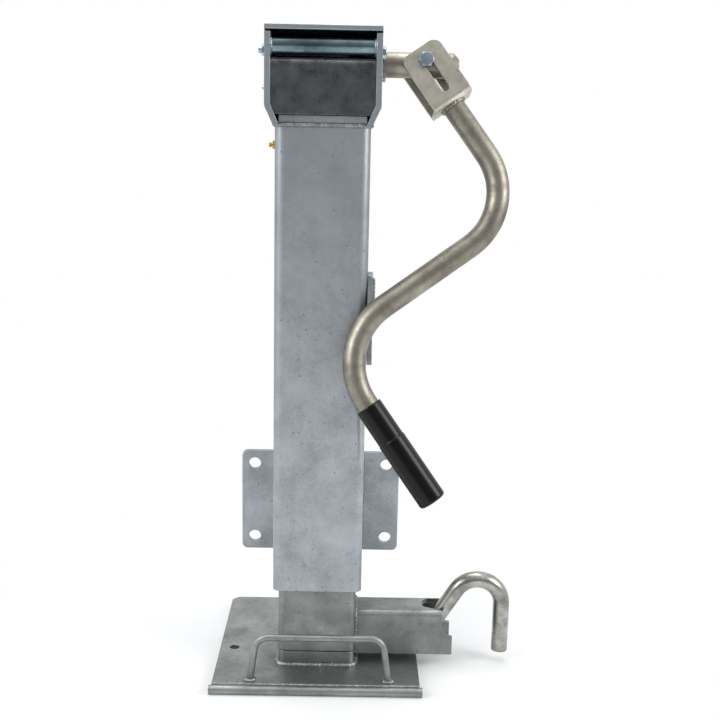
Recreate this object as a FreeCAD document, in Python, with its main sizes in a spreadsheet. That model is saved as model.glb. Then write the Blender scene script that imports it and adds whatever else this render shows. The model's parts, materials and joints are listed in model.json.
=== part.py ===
import FreeCAD, Part

import math
import os

from FreeCAD import Placement, Rotation, Vector

# Side-wind drop leg trailer jack. +Z is up, +X is the crank side, -Y is the front.
# The origin is on the axis of the square tubes, at the underside of the foot plate.
# All sizes are in millimetres.

SIZES = [
    ("tube_width", 90, "outer tube, across the flats"),
    ("tube_wall", 5, "wall of the three square tubes"),
    ("tube_corner", 9, "outer corner radius of the outer tube"),
    ("tube_bottom", 92, "lower end of the outer tube"),
    ("tube_top", 555, "upper end of the outer tube"),
    ("slide_gap", 0.5, "gap on each side between two telescoping tubes"),
    ("lift_bottom", 24.5, "lower end of the lift tube"),
    ("lift_top", "=tube_top - 55", "upper end of the lift tube"),
    ("nut_height", 40, "lift nut"),
    ("leg_top", "=lift_top - nut_height - 15", "upper end of the drop leg"),
    ("leg_pitch", 50, "spacing of the holes in the drop leg"),
    ("leg_hole", 18.4, "holes in the drop leg"),
    ("foot_size", 208, "side of the square foot plate"),
    ("foot_thick", 8, "foot plate"),
    ("foot_shift", 23, "foot plate centre behind the tube axis"),
    ("foot_side_shift", 1, "foot plate centre to the right of the tube axis"),
    ("foot_chamfer", 7, "cut rear corners of the foot plate"),
    ("foot_hole", 10, "drain hole in the foot plate"),
    ("foot_hole_inset", 15, "drain hole from the left edge"),
    ("foot_hole_back", 80, "drain hole behind the front edge"),
    ("bar_dia", 9, "bar along the front edge of the foot plate"),
    ("bar_extra", 2.2, "bar beyond the plate at each end"),
    ("bail_dia", 7, "rod of the foot bail"),
    ("bail_foot", 139, "bail width at the plate"),
    ("bail_head", 126, "bail width at the top"),
    ("bail_height", 46, "bail centreline above the plate"),
    ("bail_shift", 4, "bail centre to the right of the axis"),
    ("bail_inset", 10, "bail behind the front edge of the plate"),
    ("bail_bend", 14, "bend radius of the bail"),
    ("collar_height", 15.5, "socket collar on the foot plate"),
    ("mount_width", 168, "mounting plate"),
    ("mount_height", 110, "mounting plate"),
    ("mount_thick", 6, "mounting plate"),
    ("mount_level", 157.5, "centre of the mounting plate"),
    ("mount_corner", 6, "corner radius of the mounting plate"),
    ("mount_pitch_x", 141, "hole spacing across"),
    ("mount_pitch_z", 82, "hole spacing in height"),
    ("mount_hole", 13, "mounting holes"),
    ("housing_width", 108, "gear housing, outside"),
    ("housing_sheet", 5.5, "gear housing sheet"),
    ("housing_front", 52, "front edges of the side plates, ahead of the axis"),
    ("housing_back", 50, "outer face of the back wall, behind the axis"),
    ("housing_height", 81.5, "side plates above the tube"),
    ("housing_top", "=tube_top + housing_height", "top of the side plates"),
    ("flare_height", 16, "height over which the side plates lean in"),
    ("flare_top", "=tube_top + flare_height", "where the side plates start to lean in"),
    ("flare_reach", 7.5, "how far the side plates lean in"),
    ("plate_thick", 8, "bearing plate on top of the tube"),
    ("cover_sheet", 3, "front cover sheet"),
    ("cover_inset", 3, "front cover behind the side plate edges"),
    ("cover_low", "=tube_top + plate_thick + 0.5", "lower edge of the front cover"),
    ("cover_high", "=housing_top - cover_bend - 12.5", "top of the front cover"),
    ("cover_bend", 8, "outer bend radius of the front cover"),
    ("cover_depth", 24, "front cover from front to rear edge"),
    ("cover_gap", 0.3, "gap beside the front cover"),
    ("seal_thick", 4, "rubber seal under the top cover"),
    ("lid_sheet", 3, "top cover sheet"),
    ("lid_hem", 4.8, "height of the hemmed front edge"),
    ("lid_hem_depth", 4, "depth of the hemmed front edge"),
    ("lid_flange", 17, "rear flange of the top cover"),
    ("lid_screw_pitch", 60, "spacing of the two cover screws"),
    ("grip_bar_dia", 16.4, "round bar between the side plates"),
    ("grip_bar_level", "=housing_top - grip_bar_dia / 2 - 3.3", "centre of the round bar"),
    ("grip_bar_front", 43.5, "centre of the round bar ahead of the axis"),
    ("tie_dia", 6, "tie bolt through the side plates"),
    ("tie_flats", 10, "tie bolt head and nut across flats"),
    ("tie_head", 4, "tie bolt head and nut height"),
    ("tie_level", "=housing_top - 15", "tie bolt"),
    ("tie_front", 27, "tie bolt ahead of the axis"),
    ("tab_dia", 3.2, "screw that holds the front cover"),
    ("tab_level", "=cover_low + 24", "cover screw and its tab"),
    ("tab_front", 40, "cover screw ahead of the axis"),
    ("tab_sheet", 2, "tab of the front cover"),
    ("shaft_dia", 24, "input shaft"),
    ("shaft_level", "=housing_top - 24.8", "input shaft axis"),
    ("shaft_end", "=pivot_x + 31.6", "outer end of the input shaft"),
    ("shaft_chamfer", 5, "chamfer at the outer end"),
    ("shaft_seat", 18, "shaft diameter under the pinion"),
    ("bush_dia", 32, "bush of the input shaft"),
    ("bush_outer_end", "=housing_width / 2 + 4", "outer end of the bush"),
    ("run_fit", 0.1, "radial running fit of shafts"),
    ("gear_module", 3, "bevel gears, at the heel"),
    ("pinion_teeth", 12, "bevel pinion"),
    ("wheel_teeth", 24, "bevel wheel"),
    ("gear_face", 11, "tooth length along the cone"),
    ("gear_web", 5, "metal behind the teeth"),
    ("pinion_gap", 2.5, "pinion's pitch line at its back to the bush"),
    ("bush_inner_end", "=wheel_teeth * gear_module / 2 + gear_web + pinion_gap", "inner end of the bush"),
    ("screw_dia", 24, "lead screw"),
    ("screw_low", 140, "lower end of the lead screw"),
    ("screw_neck", 20, "upper journal of the lead screw"),
    ("screw_collar", 36, "collar of the lead screw"),
    ("collar_thick", 7, "collar of the lead screw"),
    ("race_dia", 50, "thrust bearing, outside"),
    ("race_thick", 3.5, "thrust bearing race"),
    ("ball_dia", 6, "thrust bearing balls"),
    ("ball_ring", 36, "pitch circle of the balls"),
    ("ball_count", 12, "thrust bearing balls"),
    ("pivot_x", 96, "handle bolt from the tube axis"),
    ("pivot_dia", 8, "handle bolt"),
    ("pivot_flats", 13, "handle bolt head across flats"),
    ("pivot_head", 5.3, "handle bolt head height"),
    ("crank_lean", 14, "stowed crank forward of straight down, degrees"),
    ("handle_drop", 54.7, "stowed handle below the shaft line, degrees"),
    ("fork_width", 41, "clevis plate width"),
    ("fork_sheet", 4, "clevis sheet"),
    ("fork_gap", 27, "clevis, inside"),
    ("fork_front", 14, "clevis beyond the bolt, open end"),
    ("fork_back", 46.5, "clevis beyond the bolt, closed end"),
    ("fork_corner", 8.5, "corner radius of the clevis"),
    ("slot_width", 8.6, "clevis slot"),
    ("slot_travel", 30.5, "clevis slot, between end centres"),
    ("crank_dia", 22, "crank tube"),
    ("crank_wall", 2.5, "crank tube"),
    ("crank_reach", 166, "first bend corner from the bolt"),
    ("crank_throw", 228, "grip line from the shaft line"),
    ("crank_skew", 3, "second bend corner beyond the first"),
    ("crank_end", 346.5, "outer end of the grip"),
    ("bend_upper", 64, "upper bend radius"),
    ("bend_lower", 66, "lower bend radius"),
    ("grip_start", 238, "inner end of the grip"),
    ("grip_step", 277, "where the grip gets thicker"),
    ("grip_dia", 26, "grip, inner part"),
    ("grip_dia_big", 27.2, "grip, outer part"),
    ("grip_end_wall", 5, "closed end of the grip"),
    ("grip_edge", 3, "rounded end of the grip"),
    ("rest_thick", 5, "handle rest plate"),
    ("rest_low", "=shaft_level - 284.7", "lower end of the handle rest"),
    ("rest_high", "=shaft_level - 196.7", "upper end of the handle rest"),
    ("rest_gap", 1, "handle rest behind the crank tube"),
    ("rest_back", 12, "rear edge of the handle rest ahead of the axis"),
    ("nipple_level", "=tube_top - 20", "grease nipple"),
    ("nipple_front", 20, "grease nipple ahead of the axis"),
    ("nipple_dia", 6, "grease nipple thread"),
    ("pin_dia", 17, "lock pin"),
    ("pin_level", 40, "lock pin axis"),
    ("pin_front", 4, "lock pin axis ahead of the tube axis"),
    ("pin_tip", 35.2, "inner end of the lock pin, pulled out"),
    ("pin_corner", 121, "corner of the lock pin from the tube axis"),
    ("pin_rise", 57.6, "slope of the rising arm, degrees"),
    ("pin_bend", 20, "bend at the rising arm"),
    ("pin_hook", 26, "radius of the hook"),
    ("pin_drop_x", 193.5, "hanging arm from the tube axis"),
    ("pin_drop_end", 12.5, "lower end of the hanging arm"),
    ("guard_end", 141, "outer end of the pin guard"),
    ("guard_top", 62, "top of the pin guard"),
    ("guard_low", 15, "lower edges of the pin guard"),
    ("guard_step", 11, "pin guard, walls set back above the pin"),
    ("guard_notch", 31, "pin guard, notch in the top for the rising arm"),
    ("guard_half", 20, "half width of the pin guard"),
    ("guard_sheet", 4.5, "pin guard sheet"),
    ("guard_bend", 6, "outer bend radius of the pin guard"),
    ("guide_x", "=guard_end - 43", "guide plate of the lock pin"),
    ("guide_thick", 4, "guide plate of the lock pin"),
    ("stop_x", "=tube_width / 2 + 15", "collar on the lock pin"),
    ("stop_thick", 6, "collar on the lock pin"),
    ("stop_dia", 26, "collar on the lock pin"),
    ("roll_dia", 3, "roll pin through the collar"),
    ("spring_wire", 2.4, "lock spring"),
    ("spring_dia", 22, "lock spring, mean diameter"),
    ("spring_turns", 6, "lock spring"),
]

doc = FreeCAD.newDocument("drop_leg_jack")
sheet = doc.addObject("Spreadsheet::Sheet", "Sizes")
for row, (alias, size, note) in enumerate(SIZES, start=1):
    sheet.set(f"A{row}", note)
    sheet.set(f"B{row}", str(size))
    sheet.setAlias(f"B{row}", alias)
doc.recompute()

NODES = {}


def v(alias):
    """Give one driving size from the sheet."""
    return float(sheet.get(alias))


def bind(text):
    """Turn the size names in an expression into references to the sheet."""
    names = sorted((alias for alias, _, _ in SIZES), key=len, reverse=True)
    words = text.split()
    return " ".join(f"Sizes.{word}" if word in names else word for word in words)


# Sketches and features

def new_body(label):
    """Start the body of one sub-part."""
    body = doc.addObject("PartDesign::Body", label)
    body.Label = label
    NODES[label] = body
    return body


def plane_of(body, role):
    """Find one origin plane of a body by its role."""
    return next(f for f in body.Origin.OriginFeatures if f.Role == role)


def sketch_on(body, role, offset="0"):
    """Add a sketch to an origin plane, moved along the plane's normal."""
    number = len(body.Group)
    drawn = body.newObject("Sketcher::SketchObject", f"{body.Name}_sketch_{number}")
    drawn.AttachmentSupport = [(plane_of(body, role), "")]
    drawn.MapMode = "FlatFace"
    drawn.setExpression("AttachmentOffset.Base.z", bind(offset))
    return drawn


def circle(drawn, x, y, radius):
    """Draw a full circle."""
    drawn.addGeometry(Part.Circle(Vector(x, y, 0), Vector(0, 0, 1), radius))


def path(drawn, points, closed=False):
    """Draw straight runs through points (x, y, bend radius) joined by tangent arcs."""
    count = len(points)
    ends = []
    for i, (x, y, radius) in enumerate(points):
        here = Vector(x, y, 0)
        if radius == 0 or (not closed and i in (0, count - 1)):
            ends.append((here, here, None))
            continue
        before = Vector(*points[i - 1][:2], 0) - here
        after = Vector(*points[(i + 1) % count][:2], 0) - here
        half = before.getAngle(after) / 2
        before.normalize()
        after.normalize()
        start = here + before * (radius / math.tan(half))
        stop = here + after * (radius / math.tan(half))
        centre = here + (before + after).normalize() * (radius / math.sin(half))
        middle = centre + (here - centre).normalize() * radius
        ends.append((start, stop, Part.Arc(start, middle, stop)))
    for i in range(count if closed else count - 1):
        a = ends[i][1]
        b = ends[(i + 1) % count][0]
        if a.distanceToPoint(b) > 1e-6:
            drawn.addGeometry(Part.LineSegment(a, b))
    for _, _, arc in ends:
        if arc is not None:
            drawn.addGeometry(arc)


def rectangle(drawn, x0, y0, x1, y1, radius=0):
    """Draw a closed rectangle with rounded corners."""
    path(drawn, [(x0, y0, radius), (x1, y0, radius), (x1, y1, radius), (x0, y1, radius)], True)


def both_ways(feature):
    """Let a pad or pocket run to both sides of its sketch."""
    if hasattr(feature, "SideType"):
        feature.SideType = "Symmetric"
    else:
        feature.Midplane = True


def pad(body, drawn, length, symmetric=False, backwards=False):
    """Add material along the sketch's normal."""
    feature = body.newObject("PartDesign::Pad", f"{body.Name}_pad_{len(body.Group)}")
    feature.Profile = drawn
    feature.setExpression("Length", bind(length))
    feature.Reversed = backwards
    if symmetric:
        both_ways(feature)
    return feature


def cut_through(body, drawn):
    """Cut the sketch right through the body, to both sides, and check that it cuts."""
    doc.recompute()
    before = body.Shape.Volume
    feature = body.newObject("PartDesign::Pocket", f"{body.Name}_pocket_{len(body.Group)}")
    feature.Profile = drawn
    feature.Type = "ThroughAll"
    both_ways(feature)
    doc.recompute()
    if body.Shape.Volume > before - 1e-3:
        raise RuntimeError(f"a pocket of {body.Label} cuts nothing")
    return feature


def cut_depth(body, drawn, length, backwards=False):
    """Cut the sketch to a depth, and check that it cuts."""
    doc.recompute()
    before = body.Shape.Volume
    feature = body.newObject("PartDesign::Pocket", f"{body.Name}_pocket_{len(body.Group)}")
    feature.Profile = drawn
    feature.setExpression("Length", bind(length))
    feature.Reversed = backwards
    doc.recompute()
    if body.Shape.Volume > before - 1e-3:
        raise RuntimeError(f"a pocket of {body.Label} cuts nothing")
    return feature


def pipe(body, profile, spine):
    """Sweep a profile sketch along a path sketch."""
    feature = body.newObject("PartDesign::AdditivePipe", f"{body.Name}_pipe")
    feature.Profile = profile
    feature.Spine = (spine, [])
    return feature


def turned(body, role, points, axis):
    """Revolve a closed outline of a sketch about one axis of the sketch."""
    drawn = sketch_on(body, role)
    path(drawn, points, True)
    feature = body.newObject("PartDesign::Revolution", f"{body.Name}_turned")
    feature.Profile = drawn
    feature.ReferenceAxis = (drawn, [axis])
    feature.Angle = 360
    return feature


def solid(label, shape, place=None):
    """Keep a shape built from the sheet's sizes as one sub-part."""
    feature = doc.addObject("Part::Feature", label)
    feature.Label = label
    feature.Shape = shape
    if place is not None:
        feature.Placement = place
    NODES[label] = feature
    return feature


def hexagon(drawn, x, y, flats):
    """Draw a hexagon from its size across the flats."""
    corner = flats / math.sqrt(3)
    points = []
    for i in range(6):
        angle = math.radians(60 * i + 30)
        points.append((x + corner * math.cos(angle), y + corner * math.sin(angle), 0))
    path(drawn, points, True)


# Square tubes that telescope

HALF = v("tube_width") / 2
LIFT_HALF = HALF - v("tube_wall") - v("slide_gap")
LEG_HALF = LIFT_HALF - v("tube_wall") - v("slide_gap")


def square_tube(label, half, corner, low, high):
    """Make a square tube with rounded corners between two levels."""
    body = new_body(label)
    wall = v("tube_wall")
    drawn = sketch_on(body, "XY_Plane", low)
    rectangle(drawn, -half, -half, half, half, corner)
    inner = half - wall
    rectangle(drawn, -inner, -inner, inner, inner, max(corner - wall, 1))
    pad(body, drawn, f"{high} - {low}")
    return body


outer_tube = square_tube("outer_tube", HALF, v("tube_corner"), "tube_bottom", "tube_top")
drawn = sketch_on(outer_tube, "YZ_Plane", "- tube_width / 2")
circle(drawn, -v("nipple_front"), v("nipple_level"), v("nipple_dia") / 2)
cut_depth(outer_tube, drawn, "tube_wall + 1", backwards=True)

lift_tube = square_tube("lift_tube", LIFT_HALF, v("tube_corner") - 1, "lift_bottom", "lift_top")
drawn = sketch_on(lift_tube, "YZ_Plane", "tube_width / 2")
circle(drawn, -v("pin_front"), v("pin_level"), v("pin_dia") / 2 + 2 * v("run_fit"))
cut_depth(lift_tube, drawn, "tube_width / 2")

LEG_CORNER = v("tube_corner") - 3
drop_leg = square_tube("drop_leg", LEG_HALF, LEG_CORNER, "foot_thick", "leg_top")
drawn = sketch_on(drop_leg, "YZ_Plane", "tube_width / 2")
hole_z = v("pin_level")
while hole_z < v("leg_top") - v("leg_pitch"):
    circle(drawn, -v("pin_front"), hole_z, v("leg_hole") / 2)
    hole_z += v("leg_pitch")
cut_depth(drop_leg, drawn, "tube_width / 2")

# Foot

FOOT_FRONT = v("foot_shift") - v("foot_size") / 2
FOOT_BACK = v("foot_shift") + v("foot_size") / 2
FOOT_SIDE = v("foot_size") / 2
FOOT_LEFT = v("foot_side_shift") - FOOT_SIDE
FOOT_RIGHT = v("foot_side_shift") + FOOT_SIDE

foot_plate = new_body("foot_plate")
drawn = sketch_on(foot_plate, "XY_Plane")
cut = v("foot_chamfer")
path(drawn, [
    (FOOT_LEFT, FOOT_FRONT, 0),
    (FOOT_RIGHT, FOOT_FRONT, 0),
    (FOOT_RIGHT, FOOT_BACK - cut, 0),
    (FOOT_RIGHT - cut, FOOT_BACK, 0),
    (FOOT_LEFT + cut, FOOT_BACK, 0),
    (FOOT_LEFT, FOOT_BACK - cut, 0),
], True)
circle(drawn, v("foot_hole_inset") + FOOT_LEFT, FOOT_FRONT + v("foot_hole_back"), v("foot_hole") / 2)
pad(foot_plate, drawn, "foot_thick")

foot_edge_bar = new_body("foot_edge_bar")
drawn = sketch_on(foot_edge_bar, "YZ_Plane", "foot_side_shift - foot_size / 2 - bar_extra")
circle(drawn, FOOT_FRONT - v("bar_dia") / 2, v("bar_dia") / 2, v("bar_dia") / 2)
pad(foot_edge_bar, drawn, "foot_size + 2 * bar_extra")

leg_socket = new_body("leg_socket")
drawn = sketch_on(leg_socket, "XY_Plane", "foot_thick")
rectangle(drawn, -LIFT_HALF, -LIFT_HALF, LIFT_HALF, LIFT_HALF, v("tube_corner") - 1)
rectangle(drawn, -LEG_HALF, -LEG_HALF, LEG_HALF, LEG_HALF, LEG_CORNER)
pad(leg_socket, drawn, "collar_height")

foot_bail = new_body("foot_bail")
bail_y = FOOT_FRONT + v("bail_inset")
top = v("foot_thick") + v("bail_height")
profile = sketch_on(foot_bail, "XY_Plane", "foot_thick")
lean = (v("bail_foot") - v("bail_head")) / 2
circle(profile, v("bail_shift") - v("bail_foot") / 2, bail_y, v("bail_dia") / 2)
spine = sketch_on(foot_bail, "XZ_Plane", f"{-bail_y}")
path(spine, [
    (v("bail_shift") - v("bail_foot") / 2, v("foot_thick"), 0),
    (v("bail_shift") - v("bail_head") / 2, top, v("bail_bend")),
    (v("bail_shift") + v("bail_head") / 2, top, v("bail_bend")),
    (v("bail_shift") + v("bail_foot") / 2, v("foot_thick"), 0),
])
pipe(foot_bail, profile, spine)

# Mounting plate on the back of the outer tube

mounting_plate = new_body("mounting_plate")
drawn = sketch_on(mounting_plate, "XZ_Plane", "- tube_width / 2")
half_x = v("mount_width") / 2
half_z = v("mount_height") / 2
level = v("mount_level")
rectangle(drawn, -half_x, level - half_z, half_x, level + half_z, v("mount_corner"))
for side in (-1, 1):
    for row in (-1, 1):
        x = side * v("mount_pitch_x") / 2
        circle(drawn, x, level + row * v("mount_pitch_z") / 2, v("mount_hole") / 2)
pad(mounting_plate, drawn, "mount_thick", backwards=True)

# Gear housing: a bent channel, open at the front and top

WIDE = v("housing_width") / 2
SHEET = v("housing_sheet")
INSIDE = WIDE - SHEET
FLARE_LOW = v("tube_top")

gear_housing = new_body("gear_housing")
for side in (-1, 1):
    drawn = sketch_on(gear_housing, "XZ_Plane", "housing_front")
    foot = WIDE - v("flare_reach")
    path(drawn, [
        (side * WIDE, v("housing_top"), 0),
        (side * WIDE, v("flare_top"), 6),
        (side * foot, FLARE_LOW, 0),
        (side * (foot - SHEET), FLARE_LOW, 0),
        (side * INSIDE, v("flare_top") + 1.5, 2),
        (side * INSIDE, v("housing_top"), 0),
    ], True)
    pad(gear_housing, drawn, "housing_front + housing_back", backwards=True)
    if side == -1:
        drawn = sketch_on(gear_housing, "XZ_Plane", "- housing_back")
        foot_in = WIDE - v("flare_reach") - SHEET / 2
        low_z = FLARE_LOW
        path(drawn, [
            (-INSIDE - 1, v("housing_top"), 0),
            (-INSIDE - 1, v("flare_top"), 0),
            (-foot_in, low_z, 0),
            (foot_in, low_z, 0),
            (INSIDE + 1, v("flare_top"), 0),
            (INSIDE + 1, v("housing_top"), 0),
        ], True)
        pad(gear_housing, drawn, "housing_sheet")
for side, hole, y, z in (
    (1, v("bush_dia"), 0, v("shaft_level")),
    (1, v("tie_dia") + 0.4, -v("tie_front"), v("tie_level")),
    (-1, v("tie_dia") + 0.4, -v("tie_front"), v("tie_level")),
    (-1, v("tab_dia"), -v("tab_front"), v("tab_level")),
):
    drawn = sketch_on(gear_housing, "YZ_Plane", "housing_width / 2" if side == 1 else "- housing_width / 2")
    circle(drawn, y, z, hole / 2)
    cut_depth(gear_housing, drawn, "housing_sheet + 1", backwards=side == -1)
drawn = sketch_on(gear_housing, "XZ_Plane", "- housing_back")
LID_SCREW_Z = v("housing_top") - v("lid_flange") / 2 + v("seal_thick") / 2
for side in (-1, 1):
    circle(drawn, side * v("lid_screw_pitch") / 2, LID_SCREW_Z, 3.1)
cut_depth(gear_housing, drawn, "housing_sheet + 1", backwards=True)

bearing_plate = new_body("bearing_plate")
drawn = sketch_on(bearing_plate, "XY_Plane", "tube_top")
plate_x = WIDE - v("flare_reach") - SHEET
plate_back = v("housing_back") - SHEET
rectangle(drawn, -plate_x, -HALF, plate_x, plate_back)
circle(drawn, 0, 0, v("screw_neck") / 2 + v("run_fit"))
pad(bearing_plate, drawn, "plate_thick")

# Covers

front_cover = new_body("front_cover")
drawn = sketch_on(front_cover, "YZ_Plane", "housing_sheet + cover_gap - housing_width / 2")
face = v("cover_inset") - v("housing_front")
rear = face + v("cover_depth")
thick = v("cover_sheet")
bend = v("cover_bend")
path(drawn, [
    (face, v("cover_low"), 0),
    (face, v("cover_high"), bend),
    (rear, v("cover_high"), 0),
    (rear, v("cover_high") - thick, 0),
    (face + thick, v("cover_high") - thick, bend - thick),
    (face + thick, v("cover_low"), 0),
], True)
pad(front_cover, drawn, "housing_width - 2 * housing_sheet - 2 * cover_gap")
drawn = sketch_on(front_cover, "YZ_Plane", "housing_sheet + cover_gap - housing_width / 2")
rectangle(drawn, face + 1, v("tab_level") - 7.5, -v("tab_front") + 6, v("tab_level") + 7.5, 1.5)
circle(drawn, -v("tab_front"), v("tab_level"), v("tab_dia") / 2)
pad(front_cover, drawn, "tab_sheet")
drawn = sketch_on(front_cover, "XZ_Plane")
low_cut = v("cover_low") - 1
slope = (v("flare_reach")) / (v("flare_top") + 1.5 - v("tube_top"))
for side in (-1, 1):
    near = INSIDE - (v("flare_top") + 1.5 - low_cut) * slope - 0.5
    path(drawn, [
        (side * (INSIDE + 1), v("flare_top") + 4, 0),
        (side * (INSIDE - 0.5), v("flare_top") + 1.5, 0),
        (side * near, low_cut, 0),
        (side * (INSIDE + 1), low_cut, 0),
    ], True)
cut_through(front_cover, drawn)

cover_seal = new_body("cover_seal")
drawn = sketch_on(cover_seal, "XY_Plane", "housing_top")
front = -v("housing_front") + v("lid_hem_depth") + 0.5
path(drawn, [
    (-WIDE, front, 0),
    (-INSIDE, front, 0),
    (-INSIDE, v("housing_back") - SHEET, 0),
    (INSIDE, v("housing_back") - SHEET, 0),
    (INSIDE, front, 0),
    (WIDE, front, 0),
    (WIDE, v("housing_back"), 0),
    (-WIDE, v("housing_back"), 0),
], True)
pad(cover_seal, drawn, "seal_thick")

top_cover = new_body("top_cover")
drawn = sketch_on(top_cover, "YZ_Plane", "- housing_width / 2")
lid_top = v("housing_top") + v("seal_thick") + v("lid_sheet")
lid_back = v("housing_back") + v("lid_sheet")
lid_front = -v("housing_front")
path(drawn, [
    (lid_front, lid_top, 1),
    (lid_back, lid_top, 4),
    (lid_back, lid_top - v("lid_flange"), 0),
    (lid_back - v("lid_sheet"), lid_top - v("lid_flange"), 0),
    (lid_back - v("lid_sheet"), lid_top - v("lid_sheet"), 0),
    (lid_front + v("lid_hem_depth"), lid_top - v("lid_sheet"), 0),
    (lid_front + v("lid_hem_depth"), lid_top - v("lid_hem"), 1),
    (lid_front, lid_top - v("lid_hem"), 1),
], True)
pad(top_cover, drawn, "housing_width")
drawn = sketch_on(top_cover, "XZ_Plane", "- housing_back - lid_sheet")
for side in (-1, 1):
    circle(drawn, side * v("lid_screw_pitch") / 2, LID_SCREW_Z, 3.1)
cut_depth(top_cover, drawn, "lid_sheet + 1", backwards=True)


def bolt_shape(flats, head, dia, length, along, at):
    """Make a hex bolt whose head sits on a face at a point, with its shank along a direction."""
    corner = flats / math.sqrt(3)
    ring = [Vector(corner, 0, 0)]
    for i in range(1, 7):
        angle = math.radians(60 * i)
        ring.append(Vector(corner * math.cos(angle), corner * math.sin(angle), 0))
    block = Part.Face(Part.makePolygon(ring)).extrude(Vector(0, 0, -head))
    dome = Part.makeCone(flats / 2 - 0.3 + head, flats / 2 - 0.3, head, Vector(0, 0, 0), Vector(0, 0, -1))
    block = block.common(dome)
    shank = Part.makeCylinder(dia / 2, length, Vector(0, 0, -0.5))
    bolt = block.fuse(shank).removeSplitter()
    bolt.Placement = Placement(at, Rotation(Vector(0, 0, 1), along))
    return bolt


def nut_shape(flats, height, dia, along, at):
    """Make a hex nut that stands on a face at a point, with its bore along a direction."""
    corner = flats / math.sqrt(3)
    ring = [Vector(corner, 0, 0)]
    for i in range(1, 7):
        angle = math.radians(60 * i)
        ring.append(Vector(corner * math.cos(angle), corner * math.sin(angle), 0))
    block = Part.Face(Part.makePolygon(ring)).extrude(Vector(0, 0, height))
    dome = Part.makeCone(flats / 2 - 0.3 + height, flats / 2 - 0.3, height)
    nut = block.common(dome).cut(Part.makeCylinder(dia / 2, height * 3, Vector(0, 0, -height)))
    nut.Placement = Placement(at, Rotation(Vector(0, 0, 1), along))
    return nut


screws = []
for side in (-1, 1):
    seat = Vector(side * v("lid_screw_pitch") / 2, v("housing_back") + v("lid_sheet"), LID_SCREW_Z)
    screws.append(bolt_shape(10, 4, 6, SHEET + v("lid_sheet") + 2.5, Vector(0, -1, 0), seat))
solid("cover_screws", Part.makeCompound(screws))

# Bars and bolts across the housing

grip_bar = new_body("cross_bar")
drawn = sketch_on(grip_bar, "YZ_Plane", "housing_sheet - housing_width / 2")
circle(drawn, -v("grip_bar_front"), v("grip_bar_level"), v("grip_bar_dia") / 2)
pad(grip_bar, drawn, "housing_width - 2 * housing_sheet")

tie_at = Vector(WIDE, -v("tie_front"), v("tie_level"))
tie_length = 2 * WIDE + v("tie_head") + 3.5
solid("tie_bolt", bolt_shape(
    v("tie_flats"), v("tie_head"), v("tie_dia"), tie_length, Vector(-1, 0, 0), tie_at))
tie_far = Vector(-WIDE, -v("tie_front"), v("tie_level"))
solid("tie_nut", nut_shape(
    v("tie_flats"), v("tie_head"), v("tie_dia"), Vector(-1, 0, 0), tie_far))

cover_screw = new_body("cover_screw")
inner_end = v("tab_sheet") + v("cover_gap") - INSIDE + 1
turned(cover_screw, "XZ_Plane", [
    (-WIDE - 3, 0, 0),
    (-WIDE - 2.6, 1.7, 0.4),
    (-WIDE - 0.6, 2.9, 0.6),
    (-WIDE, 2.9, 0),
    (-WIDE, v("tab_dia") / 2, 0),
    (inner_end, v("tab_dia") / 2, 0),
    (inner_end, 0, 0),
], "H_Axis")
cover_screw.Placement = Placement(Vector(0, -v("tab_front"), v("tab_level")), Rotation())

# Input shaft with its bush and the bevel pinion

AXIS_Z = v("shaft_level")

shaft_bush = new_body("shaft_bush")
drawn = sketch_on(shaft_bush, "YZ_Plane", "bush_inner_end")
circle(drawn, 0, AXIS_Z, v("bush_dia") / 2)
circle(drawn, 0, AXIS_Z, v("shaft_dia") / 2 + v("run_fit"))
pad(shaft_bush, drawn, "bush_outer_end - bush_inner_end")

module = v("gear_module")
PINION_R = module * v("pinion_teeth") / 2
WHEEL_R = module * v("wheel_teeth") / 2
CONE = math.hypot(PINION_R, WHEEL_R)
TOE = (CONE - v("gear_face")) / CONE
ADDENDUM = 0.75 * module
DEDENDUM = 1.05 * module
ROOT_LOSS = 0.62
PITCH_LOSS = 0.41


def bevel_gear(teeth, mate_radius, bore, phase):
    """Make a straight bevel gear about Z with its cone's point at the origin."""
    radius = module * teeth / 2
    cone = math.atan2(radius, mate_radius)
    normal = Vector(math.cos(cone), 0, math.sin(cone))
    heel = Vector(radius, 0, -mate_radius)
    root = heel - normal * DEDENDUM
    back = root.z - v("gear_web")
    profile = [
        root,
        root * TOE,
        Vector(bore, 0, root.z * TOE),
        Vector(bore, 0, back),
        Vector(root.x - v("gear_web") / 2, 0, back),
        Vector(root.x, 0, root.z - v("gear_web") / 2),
    ]
    blank = Part.Face(Part.makePolygon(profile + profile[:1]))
    blank = blank.revolve(Vector(0, 0, 0), Vector(0, 0, 1), 360)
    half = math.pi * module / 4
    widths = ((-DEDENDUM - 0.5, 1.35), (0, 1 - PITCH_LOSS / 2), (ADDENDUM, ROOT_LOSS - 0.12))
    side = [(rise, share * half) for rise, share in widths]
    ring = [heel + normal * rise + Vector(0, wide, 0) for rise, wide in side]
    ring += [heel + normal * rise - Vector(0, wide, 0) for rise, wide in reversed(side)]
    faces = [Part.makePolygon([p * scale for p in ring + ring[:1]]) for scale in (1, TOE)]
    tooth = Part.makeLoft(faces, True, True)
    solids = []
    for i in range(int(teeth)):
        copy = tooth.copy()
        copy.rotate(Vector(0, 0, 0), Vector(0, 0, 1), 360 * i / teeth + phase)
        solids.append(copy)
    return blank.fuse(solids).removeSplitter()


apex = Vector(0, 0, AXIS_Z)
wheel = bevel_gear(v("wheel_teeth"), PINION_R, v("screw_neck") / 2, 180 / v("wheel_teeth"))
solid("bevel_wheel", wheel, Placement(apex, Rotation()))
pinion = bevel_gear(v("pinion_teeth"), WHEEL_R, v("shaft_seat") / 2, 180)
solid("bevel_pinion", pinion, Placement(apex, Rotation(Vector(0, 0, 1), Vector(-1, 0, 0))))

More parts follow.
